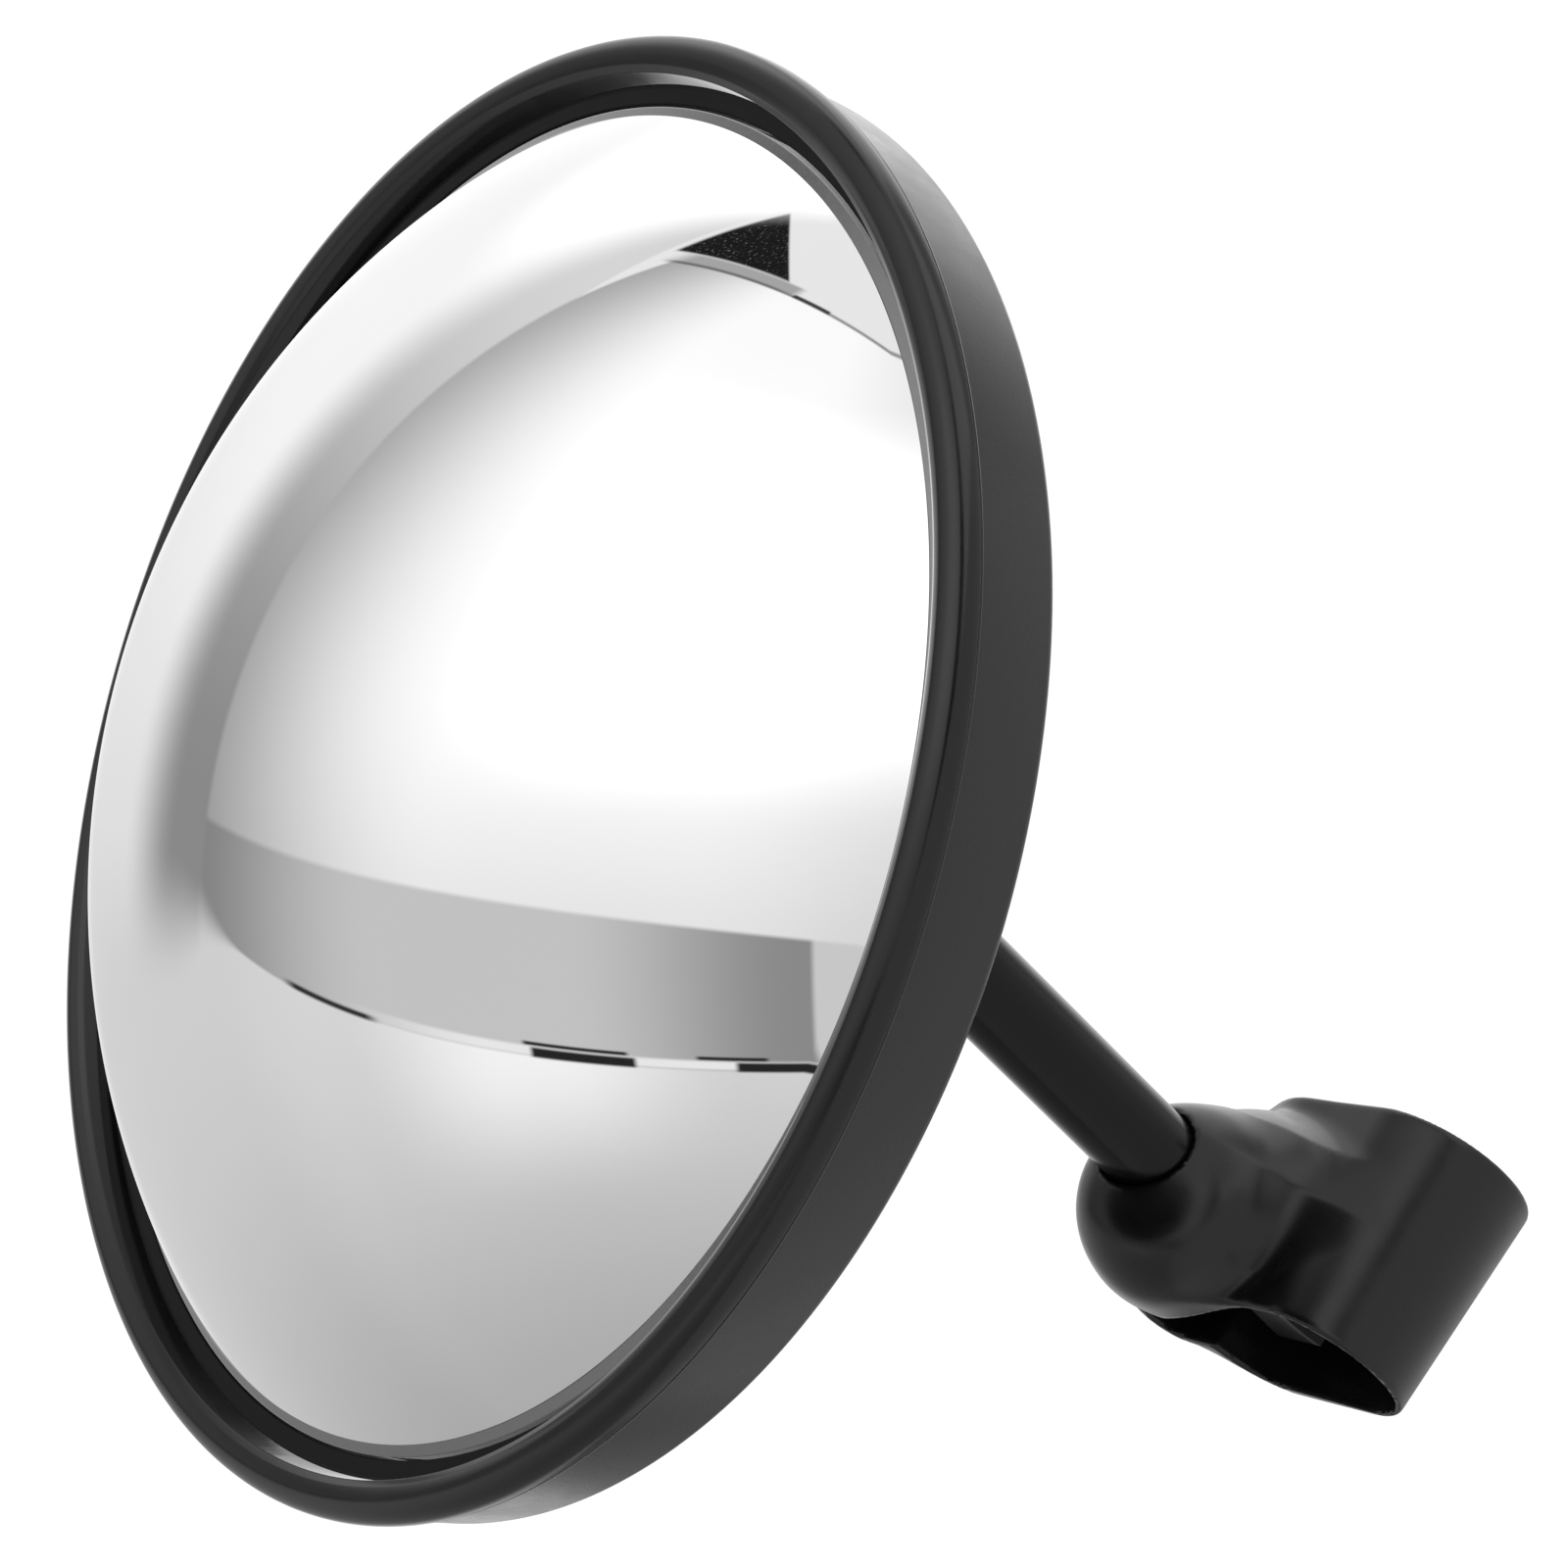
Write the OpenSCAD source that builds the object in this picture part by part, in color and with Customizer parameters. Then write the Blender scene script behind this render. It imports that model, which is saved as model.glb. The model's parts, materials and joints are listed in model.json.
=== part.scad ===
// Round convex handlebar mirror: head on a ball joint, bent arm, clamp-on sleeve bracket.
// Frame: origin at the centre of the handlebar bore, X along the bar,
// the arm rises towards -Y and +Z, the mirror faces -Y, up and towards -X.

/* [Head] */
// Outer diameter of the head over the front bead, mm
head_d = 168; // [150:1:186]
// Radius of the rounded front bead, mm
bead_r = 2.5; // [2:0.1:3]
// Depth of the side wall behind the bead, mm
wall_h = 10.9; // [10:0.1:12]
// Width of the black step between the bead's inner wall and the mirror, mm
step_w = 2.2; // [1.2:0.1:3]
// Radial gap between the mirror and the step, mm
mirror_gap = 0.3; // [0.2:0.1:0.6]
// Height of the mirror's dome, mm
dome_h = 32.2; // [26:0.1:34]
// Thickness of the mirror, mm
mirror_t = 2; // [1.6:0.1:2.4]
// Tilt of the mirror above level, degrees
head_tilt = 25; // [15:1:30]
// Turn of the mirror about the upright, degrees
head_yaw = 31.2; // [20:0.1:35]

/* [Ball joint] */
// Ball diameter, mm
ball_d = 18; // [17:0.5:19]
// Distance of the ball centre behind the bead, mm
ball_back = 31; // [30:0.5:33]

/* [Arm] */
// Arm tube diameter, mm
arm_d = 12.8; // [12:0.2:13.4]
// Arm tube wall, mm
arm_t = 1.5; // [1.2:0.1:1.8]
// Bend radius of the arm, mm
bend_r = 30; // [24:1:34]
// Length from the bend to the boss centre, mm
arm_len = 71; // [66:1:90]
// Distance of the bend point behind the bead, mm
bend_back = 65.8; // [64:0.1:72]
// Rise of the arm above level, degrees
arm_rise = 42; // [36:1:48]

/* [Bracket] */
// Handlebar diameter, mm
bar_d = 22.2; // [21.6:0.1:22.8]
// Length of the sleeve along the bar, mm
sleeve_len = 32.8; // [31:0.2:38]
// Distance from the bar to the second lobe of the sleeve, mm
lobe_gap = 15.2; // [14.8:0.1:16.2]
// Radius of the domed boss, mm
boss_r = 14.6; // [13.6:0.1:15]
// Travel of the saddle, mm
saddle_travel = 4; // [2:0.5:4]

/* [Hidden] */
$fn = 96;
run = 0.04;
head_r = head_d / 2;
lip_r = head_r - 2 * bead_r + 0.4;
step_z = -2.4;
step_r = lip_r - step_w;
mirror_r = step_r - mirror_gap;
edge_z = -3.1;
dome_r = (mirror_r * mirror_r + dome_h * dome_h) / (2 * dome_h);
dome_c = edge_z + dome_h - dome_r;
foot_z = -6.2;
foot_r = mirror_r - 3;
tape_t = 0.8;
ledge_z = foot_z - tape_t;
skin_r = head_r - 0.7;
skin_t = 1.4;
seam_z = -0.55;
ball_r = ball_d / 2;
liner_r = ball_r + 2.5;
tower_r = 17.5;
neck_r = 4;
collar_back = 9.2;
stud_end = 16;
arm_r = arm_d / 2;
collar_r = arm_r + 1.6;
tube_start = ball_back + stud_end;
// directions
face = [-cos(head_tilt) * sin(head_yaw), -cos(head_tilt) * cos(head_yaw), sin(head_tilt)];
rise = [0, -cos(arm_rise), sin(arm_rise)];
side = [0, -sin(arm_rise), -cos(arm_rise)];
// bracket, in its own frame: x along the bar, y towards the mirror, z across the sleeve
bar_r = bar_d / 2;
bore_r = bar_r;
arm_x = -4.8;
arm_z = -18.7;
boss_y = 17.5;
boss_x = arm_x - 2.4;
boss_z = arm_z - 1;
neck_y = 1.5;
neck_z = -31.9;
neck_lobe = 6.2;
socket_y = 14;
bush_r = arm_r + 1.8;
corner = [arm_x, 16 + arm_len, arm_z];
bend_point = [arm_x, 0, 0] + corner[1] * rise + arm_z * side;
head_c = bend_point + bend_back * face;
ball_c = head_c - ball_back * face;
bend_ang = acos(face * rise);
bend_tan = bend_r * tan(bend_ang / 2);
bend_n = cross(rise, face) / norm(cross(rise, face));

module head_frame() {
  translate(head_c) rotate([90 - head_tilt, 0, -head_yaw]) children();
}

module bracket_frame() {
  rotate([180 - arm_rise, 0, 0]) children();
}

// x along bend_n, z along dir, at p
module along(p, dir) {
  s = cross(dir, bend_n);
  multmatrix([[bend_n[0], s[0], dir[0], p[0]],
              [bend_n[1], s[1], dir[1], p[1]],
              [bend_n[2], s[2], dir[2], p[2]],
              [0, 0, 0, 1]]) children();
}

module ring(ro, ri, z0, z1) {
  translate([0, 0, z0]) difference() {
    cylinder(r = ro, h = z1 - z0);
    translate([0, 0, -1]) cylinder(r = ri, h = z1 - z0 + 2);
  }
}

module mirror_glass() {
  color([0.86, 0.88, 0.9]) head_frame() difference() {
    intersection() {
      translate([0, 0, dome_c]) sphere(r = dome_r, $fn = 180);
      translate([0, 0, foot_z]) cylinder(r = mirror_r, h = 60);
    }
    intersection() {
      translate([0, 0, dome_c]) sphere(r = dome_r - mirror_t, $fn = 180);
      translate([0, 0, foot_z - 5]) cylinder(r = foot_r, h = 60);
    }
  }
}

module glass_tape() {
  color([0.1, 0.1, 0.11]) head_frame() ring(mirror_r - 0.3, foot_r + 0.1, ledge_z, foot_z);
}

module bezel_ring() {
  color([0.09, 0.09, 0.095]) head_frame() difference() {
    union() {
      rotate_extrude($fn = 180) translate([head_r - bead_r, 0]) circle(r = bead_r, $fn = 48);
      ring(skin_r - skin_t - 0.05, step_r, ledge_z, 0);
    }
    ring(head_r + 3, skin_r - skin_t - 0.05, -12, seam_z);
    translate([0, 0, step_z]) cylinder(r = lip_r, h = 12, $fn = 180);
  }
}

back_r = skin_r - 2.4;
// back surface's height at radius r
function back_z(r) = -wall_h - 0.1 - 12.7 * pow((back_r - r) / (back_r - tower_r - 3), 0.8);
function floor_r(t) = (foot_r - 1) + (21.5 - foot_r) * t;

// half section of the shell, turned about the head axis
module shell_outer() {
  rotate_extrude($fn = 180) polygon(concat(
    [[0, seam_z - 0.05], [skin_r, seam_z - 0.05], [skin_r - 0.05, -wall_h + 1.2]],
    [for (k = [1 : 7]) [skin_r - 1.25 + 1.2 * cos(k * 10), -wall_h + 1.2 - 1.2 * sin(k * 10)]],
    [for (k = [0 : 14]) let(r = back_r - (back_r - tower_r - 3) * k / 14) [r, back_z(r)]],
    [[tower_r + 1.2, -25.4], [tower_r, -27.5], [tower_r, -ball_back], [0, -ball_back]]));
}

module shell_inner() {
  rotate_extrude($fn = 180) polygon(concat(
    [[0, 5], [skin_r - skin_t, 5], [skin_r - skin_t, ledge_z], [foot_r - 1, ledge_z]],
    [for (k = [0 : 12]) let(r = floor_r(k / 12)) [r, back_z(r) + 2.2]],
    [[tower_r - 0.5, -17.2], [0, -17.2]]));
}

module shell_rib() {
  rotate([90, 0, 0]) translate([0, 0, -0.8]) linear_extrude(height = 1.6)
    polygon(concat([[tower_r - 1, -17.4], [foot_r - 0.5, ledge_z - 1.6]],
      [for (k = [0 : 12]) let(r = floor_r(k / 12)) [r, back_z(r) + 1.6]]));
}

module back_shell() {
  color([0.1, 0.1, 0.105]) head_frame() difference() {
    union() {
      difference() {
        shell_outer();
        shell_inner();
      }
      for (k = [0 : 5]) rotate([0, 0, k * 60]) shell_rib();
    }
    translate([0, 0, -ball_back]) sphere(r = liner_r + run, $fn = 96);
    translate([0, 0, -ball_back]) cylinder(r = 4, h = 40);
    for (k = [0 : 2]) rotate([0, 0, k * 120 + 90]) translate([14.5, 0, -ball_back - 1])
      cylinder(r = 1.3, h = 9, $fn = 32);
  }
}

module socket_liner() {
  color([0.8, 0.79, 0.74]) head_frame() translate([0, 0, -ball_back]) difference() {
    intersection() {
      sphere(r = liner_r, $fn = 96);
      translate([0, 0, -6.5]) cylinder(r = 20, h = 13.5);
    }
    sphere(r = ball_r + run, $fn = 96);
    for (k = [0 : 3]) rotate([0, 0, k * 90 + 45]) translate([0, -0.5, -8])
      cube([20, 1, 11]);
  }
}

module socket_collar() {
  color([0.1, 0.1, 0.105]) head_frame() translate([0, 0, -ball_back]) difference() {
    union() {
      translate([0, 0, -6.2]) cylinder(r = tower_r, h = 6.15);
      translate([0, 0, -collar_back]) cylinder(r1 = tower_r - 3, r2 = tower_r, h = 3.1);
    }
    sphere(r = liner_r + run, $fn = 96);
    translate([0, 0, -collar_back - 1]) cylinder(r1 = 8.6, r2 = 7.9, h = 3);
    for (k = [0 : 2]) rotate([0, 0, k * 120 + 90]) translate([14.5, 0, -collar_back - 1]) {
      cylinder(r = 1.7, h = 20, $fn = 32);
      cylinder(r = 3.2, h = 1 + 3.6, $fn = 32);
    }
  }
}

module collar_washers() {
  color([0.72, 0.73, 0.75]) head_frame() translate([0, 0, -ball_back])
    for (k = [0 : 2]) rotate([0, 0, k * 120 + 90]) translate([14.5, 0, -5.6]) difference() {
      translate([0, 0, -0.5]) cylinder(r = 3, h = 0.5, $fn = 32);
      translate([0, 0, -1]) cylinder(r = 1.65, h = 2, $fn = 32);
    }
}

module collar_screws() {
  color([0.62, 0.63, 0.65]) head_frame() translate([0, 0, -ball_back])
    for (k = [0 : 2]) rotate([0, 0, k * 120 + 90]) translate([14.5, 0, -6.1]) difference() {
      union() {
        translate([0, 0, -2]) cylinder(r = 2.7, h = 2, $fn = 32);
        translate([0, 0, -0.5]) cylinder(r = 1.25, h = 13, $fn = 32);
      }
      translate([0, 0, -2.5]) cylinder(r = 1.3, h = 1.7, $fn = 6);
    }
}

module ball_stud() {
  color([0.7, 0.71, 0.73]) head_frame() translate([0, 0, -ball_back]) union() {
    difference() {
      sphere(r = ball_r, $fn = 96);
      translate([0, 0, 7.6]) cylinder(r = 10, h = 5);
      translate([0, 0, 4]) cylinder(r = 2, h = 5, $fn = 6);
    }
    translate([0, 0, -stud_end]) cylinder(r = neck_r, h = stud_end - 3);
    translate([0, 0, -stud_end]) cylinder(r1 = arm_r, r2 = neck_r, h = 2.4);
    translate([0, 0, -stud_end - 8]) cylinder(r = arm_r - arm_t - 0.02, h = 8.5);
  }
}

// straight part of the arm, from the elbow into the boss
module arm_tube() {
  color([0.08, 0.08, 0.085]) along(bend_point, -rise)
    ring(arm_r, arm_r - arm_t, bend_tan + 2, arm_len + 1.7);
}

// bent part of the arm, with a collar for the ball stud and one for the tube
module arm_elbow() {
  inward = cross(bend_n, face);
  color([0.08, 0.08, 0.085]) difference() {
    union() {
      along(bend_point, face) translate([0, 0, bend_tan - 1])
        cylinder(r = collar_r, h = bend_back - bend_tan - tube_start + 1);
      translate(bend_point + bend_tan * face + bend_r * inward)
        multmatrix([[-inward[0], -face[0], -bend_n[0], 0],
                    [-inward[1], -face[1], -bend_n[1], 0],
                    [-inward[2], -face[2], -bend_n[2], 0],
                    [0, 0, 0, 1]])
          rotate_extrude(angle = bend_ang, $fn = 96) translate([bend_r, 0])
            circle(r = collar_r - 0.6, $fn = 96);
      along(bend_point, -rise) translate([0, 0, bend_tan - 1])
        cylinder(r = collar_r, h = 11);
    }
    along(bend_point, face) translate([0, 0, bend_back - tube_start - 8.2])
      cylinder(r = arm_r - arm_t, h = 12);
    along(bend_point, -rise) translate([0, 0, bend_tan + 1.9])
      cylinder(r = arm_r + 0.02, h = 14);
  }
}

module arm_insert() {
  color([0.68, 0.66, 0.6]) bracket_frame() translate([arm_x, 0, arm_z]) rotate([-90, 0, 0])
    difference() {
      translate([0, 0, socket_y + 0.3]) cylinder(r = arm_r - arm_t - 0.02, h = 13);
      translate([0, 0, socket_y - 1]) cylinder(r = 2, h = 11);
    }
}

module arm_bushing() {
  color([0.75, 0.74, 0.7]) bracket_frame() translate([arm_x, 0, arm_z]) rotate([-90, 0, 0])
    difference() {
      translate([0, 0, socket_y]) cylinder(r = bush_r - 0.02, h = 11);
      translate([0, 0, socket_y - 1]) cylinder(r = arm_r + run, h = 13);
    }
}

module arm_washer() {
  color([0.72, 0.73, 0.75]) bracket_frame() translate([arm_x, 0, arm_z]) rotate([-90, 0, 0])
    difference() {
      translate([0, 0, bore_r - 1.2]) cylinder(r = 4.4, h = 0.9);
      translate([0, 0, bore_r - 2]) cylinder(r = 2.1, h = 4);
    }
}

module arm_screw() {
  color([0.62, 0.63, 0.65]) bracket_frame() translate([arm_x, 0, arm_z]) rotate([-90, 0, 0])
    difference() {
      union() {
        translate([0, 0, bore_r - 3.6]) cylinder(r = 3.6, h = 2.4);
        translate([0, 0, bore_r - 1.8]) cylinder(r = 1.95, h = 11.6);
      }
      translate([0, 0, bore_r - 4.2]) cylinder(r = 1.6, h = 2, $fn = 6);
    }
}

module lobe(y, z, r, x0, x1) {
  translate([x0, y, z]) rotate([0, 90, 0]) cylinder(r = r, h = x1 - x0);
}

// two lobes joined by flat walls
module oval(r, x0, x1) {
  lobe(0, 0, r, x0, x1);
  lobe(0, -lobe_gap, r, x0, x1);
  translate([x0, -r, -lobe_gap]) cube([x1 - x0, 2 * r, lobe_gap]);
}

// the sleeve's outside, a little wider towards +X
module sleeve_skin(half) {
  hull() {
    lobe(0, 0, bore_r + 0.9, -half, -half + 0.2);
    lobe(0, -lobe_gap, bore_r + 1.2, -half, -half + 0.2);
    lobe(0, 0.5, bore_r + 1.9, half - 0.2, half);
    lobe(0, -lobe_gap, bore_r + 2.2, half - 0.2, half);
  }
}

module neck(r, x0, x1) {
  lobe(neck_y, neck_z, r, x0, x1);
  translate([x0, neck_y - r, neck_z]) cube([x1 - x0, 2 * r, -neck_z - lobe_gap]);
}

module clamp_body() {
  half = sleeve_len / 2;
  color([0.07, 0.07, 0.075]) bracket_frame() difference() {
    union() {
      sleeve_skin(half);
      neck(neck_lobe, -half, half);
      translate([boss_x, boss_y, boss_z]) sphere(r = boss_r, $fn = 96);
      translate([arm_x + 0.6, 3, boss_z]) rotate([-90, 0, 0])
        cylinder(r1 = boss_r - 3, r2 = boss_r - 1.8, h = 12);
    }
    oval(bore_r, -half - 9, half + 9);
    neck(neck_lobe - 1.5, -half - 9, -half + 9);
    translate([arm_x, 0, arm_z]) rotate([-90, 0, 0]) {
      translate([0, 0, socket_y]) cylinder(r = bush_r, h = 11);
      translate([0, 0, socket_y + 10.9]) cylinder(r = arm_r + 0.25, h = 12);
      translate([0, 0, 5]) cylinder(r = 2.15, h = 12);
      cylinder(r = 4.9, h = bore_r - 0.3);
    }
    translate([0, neck_y, neck_z - 12]) cylinder(r = 3.7, h = 20);
  }
}

module clamp_saddle() {
  color([0.12, 0.12, 0.13]) bracket_frame() difference() {
    translate([-11, -6.3, -18.6]) cube([22, 12.6, 8]);
    lobe(0, 0, bar_r + 1.3, -30, 30);
    translate([0, neck_y, -22]) cylinder(r = 2.55, h = 5);
  }
}

module saddle_pad() {
  color([0.06, 0.06, 0.06]) bracket_frame() difference() {
    intersection() {
      translate([-11, -6.3, -18.6]) cube([22, 12.6, 10]);
      lobe(0, 0, bar_r + 1.3, -30, 30);
    }
    lobe(0, 0, bar_r + 0.3, -30, 30);
  }
}

module clamp_insert() {
  color([0.78, 0.62, 0.3]) bracket_frame() translate([0, neck_y, neck_z - 6]) difference() {
    cylinder(r = 3.68, h = 8.5);
    translate([0, 0, -1]) cylinder(r = 2.55, h = 12);
  }
}

module clamp_screw() {
  color([0.3, 0.3, 0.32]) bracket_frame() translate([0, neck_y, 0]) difference() {
    translate([0, 0, -37.1]) cylinder(r = 2.5, h = 20);
    translate([0, 0, -37.7]) cylinder(r = 1.4, h = 4.1, $fn = 6);
  }
}

mirror_glass();
glass_tape();
bezel_ring();
back_shell();
socket_liner();
socket_collar();
collar_screws();
collar_washers();
ball_stud();
arm_tube();
arm_elbow();
arm_insert();
arm_bushing();
arm_washer();
arm_screw();
clamp_body();
clamp_saddle();
saddle_pad();
clamp_insert();
clamp_screw();
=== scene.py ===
import json
import math

import bmesh
import bpy
import numpy as np
from mathutils import Matrix, Vector


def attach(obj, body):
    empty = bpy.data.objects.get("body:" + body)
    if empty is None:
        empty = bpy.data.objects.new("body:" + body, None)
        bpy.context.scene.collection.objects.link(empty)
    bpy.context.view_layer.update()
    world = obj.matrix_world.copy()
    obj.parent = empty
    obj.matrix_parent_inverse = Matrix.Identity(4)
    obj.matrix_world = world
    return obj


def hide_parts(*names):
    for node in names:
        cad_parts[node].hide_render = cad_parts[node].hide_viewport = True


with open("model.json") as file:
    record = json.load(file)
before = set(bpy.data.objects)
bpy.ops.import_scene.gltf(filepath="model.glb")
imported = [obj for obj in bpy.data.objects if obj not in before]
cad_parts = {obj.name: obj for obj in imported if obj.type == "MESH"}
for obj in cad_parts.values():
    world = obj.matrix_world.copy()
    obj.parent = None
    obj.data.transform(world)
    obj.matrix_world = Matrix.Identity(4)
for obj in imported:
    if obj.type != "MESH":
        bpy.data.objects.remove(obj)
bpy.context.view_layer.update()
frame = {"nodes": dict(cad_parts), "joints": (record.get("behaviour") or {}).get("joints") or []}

nodes = frame["nodes"]
joints = {j["name"]: j for j in frame["joints"]}
MM = 0.001

# ---------------------------------------------------------------- sizes, mm
# Head: z runs out of the mirror's face, with 0 at the middle of the bead.
HEAD_R = 84.0
BEAD_R = 2.5
BALL_BACK = 31.0
WALL_H = 10.9
LEDGE_Z = -7.0
SEAM_Z = -0.55
SKIN_R = HEAD_R - 0.7
SKIN_T = 1.4
BACK_R = SKIN_R - 2.4
BACK_T = 2.2
BACK_RISE = 12.7
FLOOR_R = 21.5
TOWER_FLOOR = -17.2
LIP_R = HEAD_R - 2 * BEAD_R + 0.4
LIP_Z = 1.45
TOWER_R = 17.5
LINER_R = 11.54
STEP_R = LIP_R - 2.2
STEP_Z = -2.4
MIRROR_R = STEP_R - 0.3
MIRROR_T = 2.0
BEVEL_W = 1.25
EDGE_Z = -3.1
FOOT_Z = -6.2
FOOT_R = MIRROR_R - 3
DOME_H = 32.2
DOME_R = (MIRROR_R ** 2 + DOME_H ** 2) / (2 * DOME_H)
DOME_C = EDGE_Z + DOME_H - DOME_R

# Arm: a tube to the bend, then an elbow with a collar at each end.
ARM_R = 6.4
ARM_T = 1.5
COLLAR_T = 1.6
ARM_LEN = 71.0
BEND_R = 30.0
BEND_BACK = 65.8
TUBE_START = 47.0

# Bracket: x along the handlebar, y along the arm, z along the saddle's slide.
SLEEVE_HALF = 16.4
BORE_R = 11.1
LOBE_GAP = 15.2
ARM_X = -4.8
ARM_Z = -18.7
BOSS_R = 14.6
BOSS = (ARM_X - 2.4, 17.5, ARM_Z - 1)
FLAT_AT = (27.9, -12.3)
FLAT_OUT = (0.905, 0.425)
NECK_Y = 1.5
NECK_Z = -31.9
NECK_R = 6.2
SOCKET_Y = 14.0
BUSH_R = ARM_R + 1.8
GRUB_R = 2.5
GRUB_Z = -37.1
GRUB_LEN = 20.0
THREAD_PITCH = 0.8
THREAD_DEPTH = 0.34
HEX_HALF = 1.25


# ---------------------------------------------------------------- frames
def basis(origin, x, y, z):
    """Matrix whose columns are the unit vectors x, y, z, at origin (metres)."""
    m = Matrix.Identity(4)
    for i, v in enumerate((x, y, z)):
        m.col[i][:3] = Vector(v).normalized()
    m.translation = origin
    return m


ball = Vector(joints["head_pan"]["pos_m"])
face_x = Vector(joints["head_tilt"]["axis"])
face_y = Vector(joints["head_pan"]["axis"])
face = face_x.cross(face_y)
head_m = basis(ball + face * BALL_BACK * MM, face_x, face_y, face)
rise = Vector(joints["arm_swivel"]["axis"])
side = Vector(joints["saddle_slide"]["axis"])
bracket_m = basis((0, 0, 0), (1, 0, 0), rise, side)
bend_point = head_m.translation - face * BEND_BACK * MM
bend_n = rise.cross(face).normalized()
bend_ang = rise.angle(face)
bend_tan = BEND_R * math.tan(bend_ang / 2)


# ---------------------------------------------------------------- mesh tools
def new_object(name, verts, faces, place):
    """A mesh object from coordinates in mm in the frame `place`."""
    mesh = bpy.data.meshes.new(name)
    mesh.from_pydata([place @ (Vector(v) * MM) for v in verts], [], faces)
    mesh.validate()
    mesh.polygons.foreach_set("use_smooth", [True] * len(mesh.polygons))
    mesh.update()
    obj = bpy.data.objects.new(name, mesh)
    bpy.context.scene.collection.objects.link(obj)
    return obj


def rounded(points, steps=5):
    """Profile points (r, z) or (r, z, fillet): each fillet becomes an arc."""
    out = []
    n = len(points)
    for i, p in enumerate(points):
        fillet = p[2] if len(p) > 2 else 0
        here = Vector(p[:2])
        if not fillet:
            out.append(here)
            continue
        a = Vector(points[i - 1][:2]) - here
        b = Vector(points[(i + 1) % n][:2]) - here
        half = a.angle(b) / 2
        reach = min(fillet / math.tan(half), a.length * 0.48, b.length * 0.48)
        radius = reach * math.tan(half)
        centre = here + (a.normalized() + b.normalized()).normalized() * radius / math.sin(half)
        start = here + a.normalized() * reach - centre
        turn = start.angle_signed(here + b.normalized() * reach - centre)
        for k in range(steps + 1):
            t = -turn * k / steps
            c, s = math.cos(t), math.sin(t)
            out.append(centre + Vector((c * start.x - s * start.y, s * start.x + c * start.y)))
    return out


def ramp(start, end, steps):
    """Evenly spaced values after start, up to and including end."""
    return [start + (end - start) * k / steps for k in range(1, steps + 1)]


def arc(cr, cz, radius, start, end, steps):
    """Points on a circle in the (r, z) plane, angles in degrees from +r."""
    return [(cr + radius * math.cos(math.radians(start + (end - start) * k / steps)),
             cz + radius * math.sin(math.radians(start + (end - start) * k / steps)))
            for k in range(steps + 1)]


def lathe(name, profile, place, segments=256, closed=True):
    """Turn a profile of (r, z) round z. Points at r = 0 become one vertex."""
    verts, rings = [], []
    for r, z in profile:
        if abs(r) < 1e-6:
            rings.append([len(verts)] * segments)
            verts.append((0, 0, z))
            continue
        rings.append([len(verts) + k for k in range(segments)])
        for k in range(segments):
            t = 2 * math.pi * k / segments
            verts.append((r * math.cos(t), r * math.sin(t), z))
    faces = []
    pairs = list(zip(rings, rings[1:])) + ([(rings[-1], rings[0])] if closed else [])
    for low, high in pairs:
        for k in range(segments):
            quad = [low[k], low[(k + 1) % segments], high[(k + 1) % segments], high[k]]
            quad = [v for i, v in enumerate(quad) if v != quad[i - 1]]
            if len(quad) > 2:
                faces.append(quad)
    return new_object(name, verts, faces, place)


def sharpen(obj, degrees=32):
    """Smooth shading with edges kept where the surface turns sharply."""
    bm = bmesh.new()
    bm.from_mesh(obj.data)
    bmesh.ops.recalc_face_normals(bm, faces=bm.faces)
    for e in bm.edges:
        e.smooth = len(e.link_faces) == 2 and e.calc_face_angle(0) < math.radians(degrees)
    for f in bm.faces:
        f.smooth = True
    bm.to_mesh(obj.data)
    bm.free()
    return obj


def soften(node, width, degrees=30, segments=3):
    """A carried-over CAD node keeps its mesh and gets rounded edges."""
    obj = nodes[node]
    mod = obj.modifiers.new("edge", "BEVEL")
    mod.width = width * MM
    mod.segments = segments
    mod.limit_method = "ANGLE"
    mod.angle_limit = math.radians(degrees)
    mod.use_clamp_overlap = True
    mod.harden_normals = True
    return obj


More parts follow.
